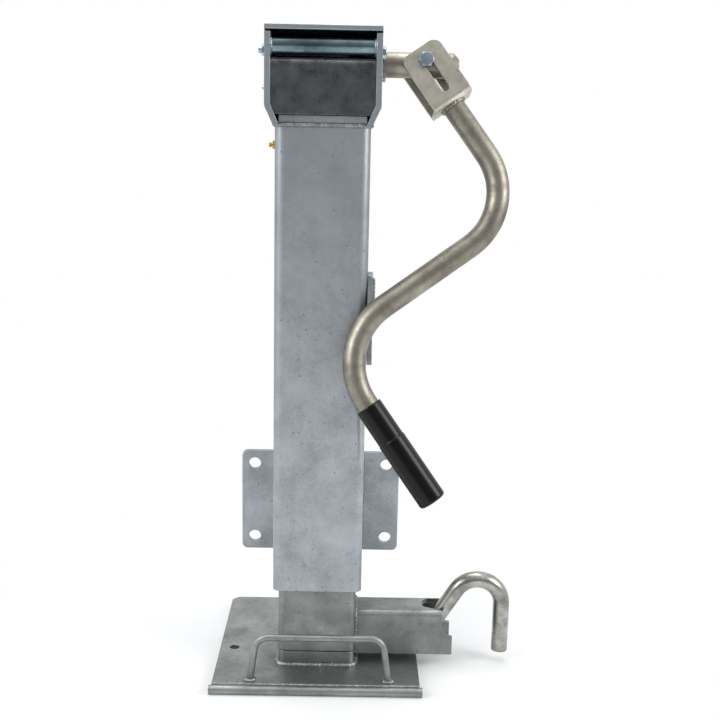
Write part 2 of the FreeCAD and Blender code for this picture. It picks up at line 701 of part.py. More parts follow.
input_shaft = new_body("input_shaft")
seat_start = TOE * WHEEL_R - 3
seat_end = v("bush_inner_end") - 0.5
r = v("shaft_dia") / 2
c = v("shaft_chamfer")
turned(input_shaft, "XZ_Plane", [
    (seat_start, 0, 0),
    (seat_start, v("shaft_seat") / 2, 0),
    (seat_end, v("shaft_seat") / 2, 0),
    (seat_end, r, 0),
    (v("shaft_end") - c, r, 0),
    (v("shaft_end"), r - c, 0),
    (v("shaft_end"), 0, 0),
], "H_Axis")
drawn = sketch_on(input_shaft, "XZ_Plane")
circle(drawn, v("pivot_x"), 0, v("pivot_dia") / 2 + v("run_fit"))
cut_through(input_shaft, drawn)
SHAFT_PLACE = Placement(apex, Rotation(Vector(1, 0, 0), -v("crank_lean")))
input_shaft.Placement = SHAFT_PLACE

# Lead screw, its thrust bearing and the lift nut

bearing_low = v("tube_top") - 2 * v("race_thick") - v("ball_dia")
collar_low = bearing_low - v("collar_thick")
WHEEL_BACK = AXIS_Z - PINION_R - DEDENDUM * math.sin(math.atan2(WHEEL_R, PINION_R)) - v("gear_web")

lead_screw = new_body("lead_screw")
r = v("screw_dia") / 2
neck = v("screw_neck") / 2
head = AXIS_Z - PINION_R * TOE - 6
turned(lead_screw, "XZ_Plane", [
    (0, v("screw_low"), 0),
    (r - 3, v("screw_low"), 0),
    (r, v("screw_low") + 3, 0),
    (r, collar_low, 0),
    (v("screw_collar") / 2, collar_low, 0),
    (v("screw_collar") / 2, bearing_low, 0),
    (neck, bearing_low, 0),
    (neck, head, 0),
    (0, head, 0),
], "V_Axis")

for label, low in (("race_turning", bearing_low), ("race_fixed", v("tube_top") - v("race_thick"))):
    race = new_body(label)
    drawn = sketch_on(race, "XY_Plane", f"{low}")
    circle(drawn, 0, 0, v("race_dia") / 2)
    circle(drawn, 0, 0, neck + (v("run_fit") if label == "race_fixed" else 0))
    pad(race, drawn, "race_thick")

ball_level = bearing_low + v("race_thick") + v("ball_dia") / 2
balls = []
pockets = []
for i in range(int(v("ball_count"))):
    angle = 2 * math.pi * i / v("ball_count")
    at = Vector(math.cos(angle), math.sin(angle), 0) * (v("ball_ring") / 2) + Vector(0, 0, ball_level)
    balls.append(Part.makeSphere(v("ball_dia") / 2 - 0.02, at))
    pockets.append(Part.makeCylinder(v("ball_dia") / 2 + 0.1, v("ball_dia"), at - Vector(0, 0, 3)))
solid("thrust_balls", Part.makeCompound(balls))
cage = Part.makeCylinder(v("race_dia") / 2 - 1, 2.4, Vector(0, 0, ball_level - 1.2))
cage = cage.cut(Part.makeCylinder(neck + 1, 9, Vector(0, 0, ball_level - 4)))
solid("ball_cage", cage.cut(Part.makeCompound(pockets)))

wheel_spacer = new_body("wheel_spacer")
drawn = sketch_on(wheel_spacer, "XY_Plane", "tube_top + plate_thick + 0.3")
circle(drawn, 0, 0, neck + 5)
circle(drawn, 0, 0, neck)
pad(wheel_spacer, drawn, f"{WHEEL_BACK} - tube_top - plate_thick - 0.3")

lift_nut = new_body("lift_nut")
drawn = sketch_on(lift_nut, "XY_Plane", "lift_top - nut_height")
nut_half = LIFT_HALF - v("tube_wall")
rectangle(drawn, -nut_half, -nut_half, nut_half, nut_half, v("tube_corner") - 1 - v("tube_wall"))
circle(drawn, 0, 0, v("screw_dia") / 2 + v("run_fit"))
pad(lift_nut, drawn, "nut_height")

# Folding crank handle, drawn in its own frame: the bolt at the origin, the first leg along X

HANDLE_PLACE = SHAFT_PLACE.multiply(Placement(Vector(v("pivot_x"), 0, 0), Rotation()))
HANDLE_PLACE = HANDLE_PLACE.multiply(
    Placement(Vector(0, 0, 0), Rotation(Vector(0, 1, 0), v("handle_drop"))))

clevis = new_body("clevis")
drawn = sketch_on(clevis, "XY_Plane")
outer = v("fork_gap") / 2 + v("fork_sheet")
inner = v("fork_gap") / 2
tail = v("fork_back")
path(drawn, [
    (-v("fork_front"), outer, 0),
    (tail, outer, v("fork_sheet") + 2),
    (tail, -outer, v("fork_sheet") + 2),
    (-v("fork_front"), -outer, 0),
    (-v("fork_front"), -inner, 0),
    (tail - v("fork_sheet"), -inner, 2),
    (tail - v("fork_sheet"), inner, 2),
    (-v("fork_front"), inner, 0),
], True)
pad(clevis, drawn, "fork_width", symmetric=True)
drawn = sketch_on(clevis, "XZ_Plane")
half = v("slot_width") / 2
rectangle(drawn, -half, -half, v("slot_travel") + half, half, half)
cut_through(clevis, drawn)
corner = v("fork_corner")
for side in (-1, 1):
    drawn = sketch_on(clevis, "XZ_Plane")
    x0 = -v("fork_front")
    z0 = side * v("fork_width") / 2
    centre = Vector(x0 + corner, z0 - side * corner, 0)
    mid = centre + Vector(-1, side, 0).normalize() * corner
    first = Vector(x0, z0 - side * corner, 0)
    last = Vector(x0 + corner, z0, 0)
    far = Vector(x0 - 1, z0 + side, 0)
    drawn.addGeometry(Part.Arc(first, mid, last))
    drawn.addGeometry(Part.LineSegment(last, Vector(x0 + corner, z0 + side, 0)))
    drawn.addGeometry(Part.LineSegment(Vector(x0 + corner, z0 + side, 0), far))
    drawn.addGeometry(Part.LineSegment(far, Vector(x0 - 1, z0 - side * corner, 0)))
    drawn.addGeometry(Part.LineSegment(Vector(x0 - 1, z0 - side * corner, 0), first))
    cut_through(clevis, drawn)
clevis.Placement = HANDLE_PLACE

crank_tube = new_body("crank_tube")
profile = sketch_on(crank_tube, "YZ_Plane", "fork_back")
circle(profile, 0, 0, v("crank_dia") / 2)
circle(profile, 0, 0, v("crank_dia") / 2 - v("crank_wall"))
spine = sketch_on(crank_tube, "XZ_Plane")
second = v("crank_reach") + v("crank_skew")
path(spine, [
    (v("fork_back"), 0, 0),
    (v("crank_reach"), 0, v("bend_upper")),
    (second, -v("crank_throw"), v("bend_lower")),
    (v("crank_end") - v("grip_end_wall"), -v("crank_throw"), 0),
])
pipe(crank_tube, profile, spine)
crank_tube.Placement = HANDLE_PLACE

hand_grip = new_body("hand_grip")
bore = v("crank_dia") / 2
small = v("grip_dia") / 2
big = v("grip_dia_big") / 2
end = v("crank_end")
turned(hand_grip, "XZ_Plane", [
    (v("grip_start"), bore, 0),
    (v("grip_start"), small, 1),
    (v("grip_step") - 1, small, 0),
    (v("grip_step"), big, 0),
    (end, big, v("grip_edge")),
    (end, 0, 0),
    (end - v("grip_end_wall"), 0, 0),
    (end - v("grip_end_wall"), bore, 0),
], "H_Axis")
hand_grip.Placement = HANDLE_PLACE.multiply(Placement(Vector(0, 0, -v("crank_throw")), Rotation()))

PIVOT_PLACE = SHAFT_PLACE.multiply(Placement(Vector(v("pivot_x"), 0, 0), Rotation()))
head_at = Vector(0, -outer - 0.1, 0)
solid("handle_bolt", bolt_shape(
    v("pivot_flats"), v("pivot_head"), v("pivot_dia"), 2 * outer + 9, Vector(0, 1, 0), head_at))
NODES["handle_bolt"].Placement = PIVOT_PLACE.multiply(NODES["handle_bolt"].Placement)
solid("handle_nut", nut_shape(
    v("pivot_flats"), 6.5, v("pivot_dia"), Vector(0, 1, 0), Vector(0, outer + 0.1, 0)))
NODES["handle_nut"].Placement = PIVOT_PLACE.multiply(NODES["handle_nut"].Placement)

# Rest plate that the stowed handle lies against

handle_rest = new_body("handle_rest")
drawn = sketch_on(handle_rest, "YZ_Plane", "tube_width / 2")
lean = math.radians(v("crank_lean"))
clear = (v("crank_dia") / 2 + v("rest_gap")) / math.cos(lean)


def rest_front(z):
    """Give the front edge of the rest plate at one level, behind the leaning handle."""
    return clear - (AXIS_Z - z) * math.tan(lean)


path(drawn, [
    (rest_front(v("rest_low")), v("rest_low"), 4),
    (rest_front(v("rest_high")), v("rest_high"), 4),
    (-v("rest_back"), v("rest_high"), 4),
    (-v("rest_back"), v("rest_low") + 20, 4),
], True)
pad(handle_rest, drawn, "rest_thick")

# Grease nipple on the left side

grease_nipple = new_body("grease_nipple")
turned(grease_nipple, "XZ_Plane", [
    (-HALF + v("tube_wall"), 0, 0),
    (-HALF + v("tube_wall"), v("nipple_dia") / 2, 0),
    (-HALF, v("nipple_dia") / 2, 0),
    (-HALF, 3.8, 0),
    (-HALF - 3, 3.8, 0),
    (-HALF - 3, 2, 0),
    (-HALF - 4.5, 1.8, 0),
    (-HALF - 5.2, 2.4, 0),
    (-HALF - 6.6, 2, 0),
    (-HALF - 7, 0, 0),
], "H_Axis")
grease_nipple.Placement = Placement(Vector(0, -v("nipple_front"), v("nipple_level")), Rotation())

# Lock pin that holds the drop leg, with its guard, guide, collar and spring

PIN_Y = -v("pin_front")
lock_guard = new_body("lock_guard")
drawn = sketch_on(lock_guard, "YZ_Plane", f"{LIFT_HALF}")
half = v("guard_half")
sheet_in = v("guard_sheet")
round_out = v("guard_bend")
round_in = round_out - sheet_in
path(drawn, [
    (PIN_Y - half, v("guard_low"), 0),
    (PIN_Y - half, v("guard_top"), round_out),
    (PIN_Y + half, v("guard_top"), round_out),
    (PIN_Y + half, v("guard_low"), 0),
    (PIN_Y + half - sheet_in, v("guard_low"), 0),
    (PIN_Y + half - sheet_in, v("guard_top") - sheet_in, round_in),
    (PIN_Y - half + sheet_in, v("guard_top") - sheet_in, round_in),
    (PIN_Y - half + sheet_in, v("guard_low"), 0),
], True)
pad(lock_guard, drawn, f"guard_end - {LIFT_HALF}")
drawn = sketch_on(lock_guard, "XZ_Plane")
last = v("guard_end")
step = v("guard_step")
path(drawn, [
    (last - step, v("guard_top") + 1, 0),
    (last - step, v("pin_level") - step / 2, step - 0.5),
    (last + 1, v("pin_level") - step / 2, 0),
    (last + 1, v("guard_top") + 1, 0),
], True)
cut_through(lock_guard, drawn)
drawn = sketch_on(lock_guard, "XY_Plane", "guard_top + 1")
mouth = half - sheet_in
path(drawn, [
    (last - v("guard_notch") + 6, PIN_Y + mouth, 0),
    (last - v("guard_notch"), PIN_Y + mouth / 2, 4),
    (last - v("guard_notch"), PIN_Y - mouth / 3, 6),
    (last - step, PIN_Y - mouth, 2),
    (last + 1, PIN_Y - mouth, 0),
    (last + 1, PIN_Y + mouth, 0),
], True)
cut_depth(lock_guard, drawn, "guard_sheet + 1.5")

lock_guide = new_body("lock_guide")
drawn = sketch_on(lock_guide, "YZ_Plane", "guide_x")
rectangle(drawn, PIN_Y - mouth, v("guard_low"), PIN_Y + mouth, v("guard_top") - sheet_in, round_in + 0.1)
circle(drawn, PIN_Y, v("pin_level"), v("pin_dia") / 2 + v("run_fit"))
pad(lock_guide, drawn, "guide_thick")

lock_pin = new_body("lock_pin")
profile = sketch_on(lock_pin, "YZ_Plane", "pin_tip")
circle(profile, PIN_Y, v("pin_level"), v("pin_dia") / 2)
spine = sketch_on(lock_pin, "XZ_Plane", "pin_front")
rise = math.radians(v("pin_rise"))
hook = v("pin_hook")
hook_x = v("pin_drop_x") - hook
side_gap = (hook_x - v("pin_corner")) * math.sin(rise) - hook
hook_z = v("pin_level") + side_gap / math.cos(rise)
turn = math.pi / 2 + rise
touch = Vector(hook_x + hook * math.cos(turn), hook_z + hook * math.sin(turn), 0)
crown = Vector(hook_x + hook * math.cos(turn / 2), hook_z + hook * math.sin(turn / 2), 0)
drop = Vector(v("pin_drop_x"), hook_z, 0)
path(spine, [
    (v("pin_tip"), v("pin_level"), 0),
    (v("pin_corner"), v("pin_level"), v("pin_bend")),
    (touch.x, touch.y, 0),
])
spine.addGeometry(Part.Arc(touch, crown, drop))
spine.addGeometry(Part.LineSegment(drop, Vector(v("pin_drop_x"), v("pin_drop_end"), 0)))
pipe(lock_pin, profile, spine)

lock_collar = new_body("lock_collar")
drawn = sketch_on(lock_collar, "YZ_Plane", "stop_x")
circle(drawn, PIN_Y, v("pin_level"), v("stop_dia") / 2)
circle(drawn, PIN_Y, v("pin_level"), v("pin_dia") / 2)
pad(lock_collar, drawn, "stop_thick")

cross = "pin_front"
roll_x = v("stop_x") + v("stop_thick") / 2
for body in (lock_pin, lock_collar):
    drawn = sketch_on(body, "XZ_Plane", cross)
    circle(drawn, roll_x, v("pin_level"), v("roll_dia") / 2)
    cut_through(body, drawn)
roll_pin = new_body("lock_roll_pin")
drawn = sketch_on(roll_pin, "XZ_Plane", cross)
circle(drawn, roll_x, v("pin_level"), v("roll_dia") / 2)
pad(roll_pin, drawn, "stop_dia + 1", symmetric=True)

wire = v("spring_wire")
spring_start = v("stop_x") + v("stop_thick") + wire / 2 + 0.1
spring_length = v("guide_x") - spring_start - wire / 2 - 0.1
mean = v("spring_dia") / 2
helix = Part.makeHelix(spring_length / v("spring_turns"), spring_length, mean)
corners = []
for i in range(9):
    angle = 2 * math.pi * i / 8
    corners.append(Vector(mean + wire / 2 * math.cos(angle), 0, wire / 2 * math.sin(angle)))
ring = Part.makePolygon(corners)
coil = Part.Wire(helix).makePipeShell([ring], True, True)
spring_place = Placement(Vector(spring_start, PIN_Y, v("pin_level")), Rotation(Vector(0, 1, 0), 90))
solid("lock_spring", coil, spring_place)

# Checks before anything is written

doc.recompute()
for thing in doc.Objects:
    if "Invalid" in thing.State or "Error" in thing.State:
        raise RuntimeError(f"{thing.Name} did not build: {thing.State}")
os.makedirs("parts", exist_ok=True)
for label, thing in NODES.items():
    shape = thing.Shape
    if shape.isNull() or not shape.isValid():
        raise RuntimeError(f"{label} is not a valid shape")
    shape.exportStep(f"parts/{label}.step")
    box = shape.BoundBox
    print(f"{label:16s} {len(shape.Solids)} solids {shape.Volume:10.0f} mm3"
          f" x {box.XMin:7.1f} {box.XMax:7.1f} y {box.YMin:7.1f} {box.YMax:7.1f}"
          f" z {box.ZMin:7.1f} {box.ZMax:7.1f}")
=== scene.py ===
import json
import logging
import math
import random
from dataclasses import dataclass, field
from enum import Enum
from typing import Optional, Sequence, Union

import bmesh
import bpy
from mathutils import Matrix, Quaternion, Vector


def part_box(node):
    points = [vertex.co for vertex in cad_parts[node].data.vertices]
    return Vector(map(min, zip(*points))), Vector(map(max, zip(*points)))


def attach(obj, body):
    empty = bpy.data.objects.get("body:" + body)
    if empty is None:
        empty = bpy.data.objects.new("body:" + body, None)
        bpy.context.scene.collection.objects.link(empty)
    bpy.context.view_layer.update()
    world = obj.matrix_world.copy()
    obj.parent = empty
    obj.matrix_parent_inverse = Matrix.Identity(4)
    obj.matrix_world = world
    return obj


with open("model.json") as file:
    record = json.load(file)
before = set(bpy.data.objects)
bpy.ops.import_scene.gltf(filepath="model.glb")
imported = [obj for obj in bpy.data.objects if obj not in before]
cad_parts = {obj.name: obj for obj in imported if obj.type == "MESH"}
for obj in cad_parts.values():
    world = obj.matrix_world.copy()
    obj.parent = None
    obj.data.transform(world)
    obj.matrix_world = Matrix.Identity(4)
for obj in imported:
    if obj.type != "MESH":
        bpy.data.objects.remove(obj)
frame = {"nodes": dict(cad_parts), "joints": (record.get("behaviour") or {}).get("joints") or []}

log = logging.getLogger("drop_leg_jack")
MM = 0.001
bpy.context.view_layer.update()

WHITE = (1.0, 1.0, 1.0, 1.0)
LEFT_AND_RIGHT = ((-1, "left"), (1, "right"))

# Zinc crystals, drain streaks, flux spots and pits of a dipped surface.
CRYSTAL_MM = 7
CRYSTAL_SHARE = 0.16
STREAK_MM = 9
STREAK_STRETCH = (1.0, 1.0, 0.08)
STREAK_SHARE = 0.3
SPOT_MM = 14
SPOT_STRENGTH = 0.38
PIT_MM = 10
PIT_STRENGTH = 0.75
# How far the grain moves a metal's shade either way.
GRAIN_SHIFT = 0.18
HAZE_MM = 18
MOULD_EDGE_MM = 0.5
EDGE_SAMPLES = 6

# Weld beads: the step between rings, the ripple and the uneven swell are shares of the radius.
BEAD_STEP = 0.36
BEAD_RIPPLE = 0.22
SWELL_SHARE = 0.4
SWELL_TURN = 1.7
TIP_START = 0.45
TIP_GROWTH = 0.3
# Each new ring is drawn out this many radii, so that no two rings meet before they are placed.
RING_APART = 10
THREAD_STEPS = 20
CREST_SHARE = 0.24
CORNER_STEPS = 5

Value = Union[float, Sequence[float], bpy.types.NodeSocket]
Point = Union[Vector, tuple[float, float, float]]


def linear(code: str) -> tuple[float, float, float, float]:
    """Turn an sRGB hex colour into the linear colour that a shader takes.

    Args:
        code: Six hex digits, as in "a0b1c2".

    Returns:
        Red, green, blue and an alpha of 1.
    """
    parts = []
    for i in (0, 2, 4):
        part = int(code[i:i + 2], 16) / 255
        parts.append(part / 12.92 if part <= 0.04045 else ((part + 0.055) / 1.055) ** 2.4)
    return (parts[0], parts[1], parts[2], 1.0)


def add(tree: bpy.types.NodeTree, kind: str,
        inputs: Optional[dict[Union[str, int], Value]] = None,
        **settings: object) -> bpy.types.Node:
    """Add one shader node.

    Args:
        tree: The node tree that takes it.
        kind: The node's type.
        inputs: Values or sockets for its inputs, by name or index.
        settings: Properties of the node itself.

    Returns:
        The new node.
    """
    node = tree.nodes.new(kind)
    for key, setting in settings.items():
        setattr(node, key, setting)
    for key, value in (inputs or {}).items():
        if isinstance(value, bpy.types.NodeSocket):
            tree.links.new(value, node.inputs[key])
        else:
            node.inputs[key].default_value = value
    return node


def noise(tree: bpy.types.NodeTree, place: bpy.types.NodeSocket, size_mm: float, detail: float,
          roughness: float = 0.5) -> bpy.types.NodeSocket:
    """Add a cloud of noise.

    Args:
        tree: The node tree.
        place: The coordinates.
        size_mm: Size of the largest patches in millimetres.
        detail: Octaves of finer noise.
        roughness: Strength of the finer noise.

    Returns:
        The noise, from 0 to 1.
    """
    return add(tree, "ShaderNodeTexNoise", {
        "Vector": place, "Scale": 1 / (size_mm * MM), "Detail": detail,
        "Roughness": roughness}).outputs["Fac"]


def remap(tree: bpy.types.NodeTree, value: bpy.types.NodeSocket,
          source: tuple[float, float] = (0.0, 1.0), target: tuple[float, float] = (0.0, 1.0),
          **settings: object) -> bpy.types.NodeSocket:
    """Stretch a range of values onto another range.

    Args:
        tree: The node tree.
        value: The value.
        source: The range that it is read from.
        target: The range that it is stretched onto.
        settings: Properties of the node itself.

    Returns:
        The new value.
    """
    return add(tree, "ShaderNodeMapRange", {
        "Value": value, "From Min": source[0], "From Max": source[1],
        "To Min": target[0], "To Max": target[1]}, **settings).outputs[0]


def tint(tree: bpy.types.NodeTree, share: bpy.types.NodeSocket, first: Value,
         second: Value) -> bpy.types.NodeSocket:
    """Mix two colours.

    Args:
        tree: The node tree.
        share: The second colour's share.
        first: The first colour.
        second: The second colour.

    Returns:
        The mixed colour.
    """
    return add(tree, "ShaderNodeMix", {
        "Factor": share, 6: first, 7: second}, data_type="RGBA").outputs[2]


def bump(tree: bpy.types.NodeTree, height: bpy.types.NodeSocket, strength: float,
         relief_mm: float, edge_mm: float) -> bpy.types.NodeSocket:
    """Round the edges and raise a fine grain.

    Args:
        tree: The node tree.
        height: The grain.
        strength: The grain's strength.
        relief_mm: The grain's height.
        edge_mm: Radius of the rounded edges.

    Returns:
        The normal.
    """
    edge = add(tree, "ShaderNodeBevel", {"Radius": edge_mm * MM}, samples=EDGE_SAMPLES)
    return add(tree, "ShaderNodeBump", {
        "Height": height, "Strength": strength, "Distance": relief_mm * MM,
        "Normal": edge.outputs[0]}).outputs[0]


def calculate(tree: bpy.types.NodeTree, operation: str, *values: Value,
              **settings: object) -> bpy.types.NodeSocket:
    """Add one sum on one or two values.

    Args:
        tree: The node tree.
        operation: The sum.
        values: What it works on.
        settings: Further properties of the node.

    Returns:
        The result.
    """
    return add(tree, "ShaderNodeMath", dict(enumerate(values)), operation=operation,
               **settings).outputs[0]


class Surface(Enum):
    """How a metal surface was made."""

    DIPPED = "hot dipped"
    PLATED = "plated"
    DRAWN = "drawn or brushed"
    MACHINED = "machined"


@dataclass(frozen=True)
class Finish:
    """A named finish that makes its material once."""

    name: str

    def material(self) -> bpy.types.Material:
        """Build the material the first time and give it back each time."""
        made = bpy.data.materials.get(self.name)
        if made is None:
            made = bpy.data.materials.new(self.name)
            made.use_nodes = True
            made.node_tree.nodes.clear()
            self.wire(made.node_tree)
        return made

    def wire(self, tree: bpy.types.NodeTree) -> None:
        """Fill an empty node tree.

        Args:
            tree: The material's node tree.
        """
        raise NotImplementedError


@dataclass(frozen=True)
class Metal(Finish):
    """A metal finish with its colour range, clouding and grain."""

    pale: str
    deep: str
    surface: Surface
    rough: tuple[float, float] = (0.3, 0.45)
    cloud_mm: float = 45.0
    grain_mm: float = 1.2
    relief_mm: float = 0.05
    edge_mm: float = 0.8
    stain: str = ""
    along: tuple[float, float, float] = (1.0, 1.0, 1.0)

    def wire(self, tree: bpy.types.NodeTree) -> None:
        """Fill the material's tree.

        Args:
            tree: The empty node tree.
        """
        place = add(tree, "ShaderNodeTexCoord").outputs["Object"]
        cloud = noise(tree, place, self.cloud_mm, 6.0, 0.6)
        drawn = add(tree, "ShaderNodeMapping", {"Vector": place, "Scale": self.along}).outputs[0]
        grain = noise(tree, drawn, self.grain_mm, 4.0, 0.55)
        shade = remap(tree, cloud, (0.34, 0.66))
        if self.surface is Surface.DIPPED:
            shade = self.spangle(tree, place, shade)
        speck = remap(tree, grain, (0.3, 0.7), (-GRAIN_SHIFT, GRAIN_SHIFT))
        total = calculate(tree, "ADD", shade, speck, use_clamp=True)
        colour = tint(tree, total, linear(self.deep), linear(self.pale))
        if self.stain:
            colour = self.stained(tree, place, colour)
        rough = remap(tree, total, target=(self.rough[1], self.rough[0]))
        normal = bump(tree, grain, 0.6, self.relief_mm, self.edge_mm)
        shader = add(tree, "ShaderNodeBsdfPrincipled", {
            "Base Color": colour, "Metallic": 1.0, "Roughness": rough, "Normal": normal})
        add(tree, "ShaderNodeOutputMaterial", {"Surface": shader.outputs[0]})

    def spangle(self, tree: bpy.types.NodeTree, place: bpy.types.NodeSocket,
                shade: bpy.types.NodeSocket) -> bpy.types.NodeSocket:
        """Mix zinc crystals and long drain streaks into the clouding.

        Args:
            tree: The node tree.
            place: Object coordinates.
            shade: The clouding, from 0 to 1.

        Returns:
            The clouding with crystals and streaks.
        """
        crystal = add(tree, "ShaderNodeTexVoronoi", {
            "Vector": place, "Scale": 1 / (CRYSTAL_MM * MM), "Randomness": 1.0})
        tone = add(tree, "ShaderNodeSeparateColor", {
            "Color": crystal.outputs["Color"]}).outputs[0]
        drain = add(tree, "ShaderNodeMapping", {"Vector": place, "Scale": STREAK_STRETCH})
        streak = noise(tree, drain.outputs[0], STREAK_MM, 5.0, 0.6)
        mixed = add(tree, "ShaderNodeMix", {"Factor": CRYSTAL_SHARE, 2: shade, 3: tone})
        return add(tree, "ShaderNodeMix", {
            "Factor": STREAK_SHARE, 2: mixed.outputs[0], 3: streak}).outputs[0]

    def stained(self, tree: bpy.types.NodeTree, place: bpy.types.NodeSocket,
                colour: bpy.types.NodeSocket) -> bpy.types.NodeSocket:
        """Add sparse darker flux spots and small dark pits.

        Args:
            tree: The node tree.
            place: Object coordinates.
            colour: The metal's colour so far.

        Returns:
            The colour with spots and pits.
        """
        stain = linear(self.stain)
        spots = noise(tree, place, SPOT_MM, 8.0, 0.72)
        spotted = tint(tree, remap(tree, spots, (0.62, 0.74), (0.0, SPOT_STRENGTH)), colour, stain)
        pit = add(tree, "ShaderNodeTexVoronoi", {
            "Vector": place, "Scale": 1 / (PIT_MM * MM), "Randomness": 1.0})
        near = remap(tree, pit.outputs["Distance"], (0.05, 0.12), (PIT_STRENGTH, 0.0))
        return tint(tree, near, spotted, stain)


@dataclass(frozen=True)
class Moulded(Finish):
    """A moulded plastic or rubber finish."""

    colour: str
    worn: str
    rough: tuple[float, float]
    grain_mm: float
    relief_mm: float
    specular: float = 0.5

    def wire(self, tree: bpy.types.NodeTree) -> None:
        """Fill the material's tree.

        Args:
            tree: The empty node tree.
        """
        place = add(tree, "ShaderNodeTexCoord").outputs["Object"]
        haze = noise(tree, place, HAZE_MM, 5.0)
        skin = noise(tree, place, self.grain_mm, 3.0)
        share = remap(tree, haze, (0.4, 0.75))
        colour = tint(tree, share, linear(self.colour), linear(self.worn))
        rough = remap(tree, haze, target=self.rough)
        normal = bump(tree, skin, 0.5, self.relief_mm, MOULD_EDGE_MM)
        shader = add(tree, "ShaderNodeBsdfPrincipled", {
            "Base Color": colour, "Roughness": rough, "Normal": normal,
            "Specular IOR Level": self.specular})
        add(tree, "ShaderNodeOutputMaterial", {"Surface": shader.outputs[0]})


# Zinc from the bath: soft grey crystals, drain streaks and a few flux spots.
GALVANISED = Metal(
    "hot_dip_galvanised_steel", "b4b9bd", "8a9094", Surface.DIPPED, (0.34, 0.52), stain="63666a")
# The same bath on the sliding parts and the foot: scuffed duller and darker in use.
DULL_GALVANISED = Metal(
    "scuffed_galvanised_steel", "a6a9a8", "737775", Surface.DIPPED, (0.38, 0.56), cloud_mm=34,
    stain="575a58")
# The same bath on sheet with thinner zinc: darker, with a mirror-like skin.
DARK_SHEET = Metal(
    "dark_bright_dipped_sheet", "93969a", "3b3c3f", Surface.DIPPED, (0.14, 0.32), cloud_mm=16,
    stain="1d1d1f")
# Clear chromate over bright zinc: cold blue-white.
BLUE_ZINC = Metal(
    "clear_chromate_zinc_plate", "c3d0d9", "8fa0ad", Surface.PLATED, (0.14, 0.24), cloud_mm=25,
    relief_mm=0.02, edge_mm=0.5)
# The same plating on a ground bar between the side plates, like a mirror, and painted darker:
# painted shade for the recess under the top cover where the bar sits.
BAR_ZINC = Metal(
    "clear_chromate_ground_bar", "84989e", "4d5d63", Surface.DRAWN, (0.1, 0.18), cloud_mm=30,
    relief_mm=0.01, edge_mm=0.4, along=(0.2, 1.0, 1.0))
# Bright zinc on drawn round bar: faint draw lines along the bar.
PIN_ZINC = Metal(
    "bright_zinc_on_drawn_bar", "b3b3ac", "7b7b75", Surface.DRAWN, (0.2, 0.32), cloud_mm=20,
    relief_mm=0.03, along=(0.3, 1.0, 1.0))
# Dull nickel over pickled tube: warm grey and satin.
SATIN_NICKEL = Metal(
    "satin_nickel_on_pickled_tube", "a29e92", "767268", Surface.PLATED, (0.36, 0.5), cloud_mm=22,
    grain_mm=0.9, stain="6e675d")
# The same plating on cut sheet, painted paler: painted light that stands in for the brighter
# reflection the clevis's front plate catches.
SATIN_SHEET = Metal(
    "satin_nickel_on_cut_sheet", "d8d4c9", "aaa598", Surface.PLATED, (0.32, 0.46), cloud_mm=18,
    grain_mm=0.8, stain="7d7669")
# Cut, oiled gear steel with fine machining marks.
GEAR_STEEL = Metal(
    "machined_oiled_steel", "a5a6a8", "5e5f62", Surface.MACHINED, (0.22, 0.38), cloud_mm=12,
    grain_mm=0.5, relief_mm=0.02, edge_mm=0.3)
# Hardened and ground races, balls and spring wire: mirror bright.
GROUND_STEEL = Metal(
    "ground_bearing_steel", "cfd0d2", "97989b", Surface.MACHINED, (0.1, 0.2), cloud_mm=9,
    grain_mm=0.4, relief_mm=0.01, edge_mm=0.3)
# Turned brass, a little dull.
BRASS = Metal(
    "turned_brass", "d6b25e", "a37c32", Surface.MACHINED, (0.2, 0.32), cloud_mm=5, grain_mm=0.4,
    relief_mm=0.01, edge_mm=0.25)
# Weld metal under the zinc: lumpy, and duller than the plate.
WELD = Metal(
    "galvanised_weld_metal", "a3a6a6", "6c7071", Surface.DIPPED, (0.38, 0.55), cloud_mm=9,
    grain_mm=0.9, relief_mm=0.15, edge_mm=0.2)
# Dipped vinyl grip: deep black with a wet gloss.
GRIP = Moulded("dipped_black_vinyl", "050505", "0a0a0b", (0.16, 0.26), 0.8, 0.02, specular=0.25)
# Cut rubber seal: matt, a little dusty.
SEAL = Moulded("cut_black_rubber", "0c0c0c", "1d1d1c", (0.6, 0.75), 0.5, 0.05)


def dress(nodes: dict[str, Finish]) -> None:
    """Give CAD nodes their finishes.

    Args:
        nodes: Finish by node name.
    """
    for name, finish in nodes.items():
        mesh = frame["nodes"][name].data
        mesh.materials.clear()
        mesh.materials.append(finish.material())
        log.info("dressed %s in %s", name, finish.name)


def keep(bm: bmesh.types.BMesh, name: str, body: str, finish: Finish) -> None:
    """Turn a finished bmesh into a smooth piece that rides on a body.

    Args:
        bm: The shape, in metres, in the jack's own frame. It is freed.
        name: The piece's name.
        body: The CAD body it moves with.
        finish: Its finish.
    """
    bmesh.ops.recalc_face_normals(bm, faces=bm.faces)
    for face in bm.faces:
        face.smooth = True
    mesh = bpy.data.meshes.new(name)
    bm.to_mesh(mesh)
    bm.free()
    mesh.materials.append(finish.material())
    piece = bpy.data.objects.new(name, mesh)
    bpy.context.scene.collection.objects.link(piece)
    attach(piece, body)
    log.info("made %s with %d faces", name, len(mesh.polygons))


def spread(points: Sequence[Vector], step: float, closed: bool) -> list[Vector]:
    """Space points evenly along a run of straight lines.

    Args:
        points: Corners of the run.
        step: Wanted distance between points.
        closed: Whether the run returns to its start.

    Returns:
        The evenly spaced points.
    """
    ends = list(points) + ([points[0]] if closed else [])
    out: list[Vector] = []
    for a, b in zip(ends, ends[1:]):
        count = max(1, round((b - a).length / step))
        out += [a.lerp(b, i / count) for i in range(count)]
    return out if closed else out + [ends[-1]]


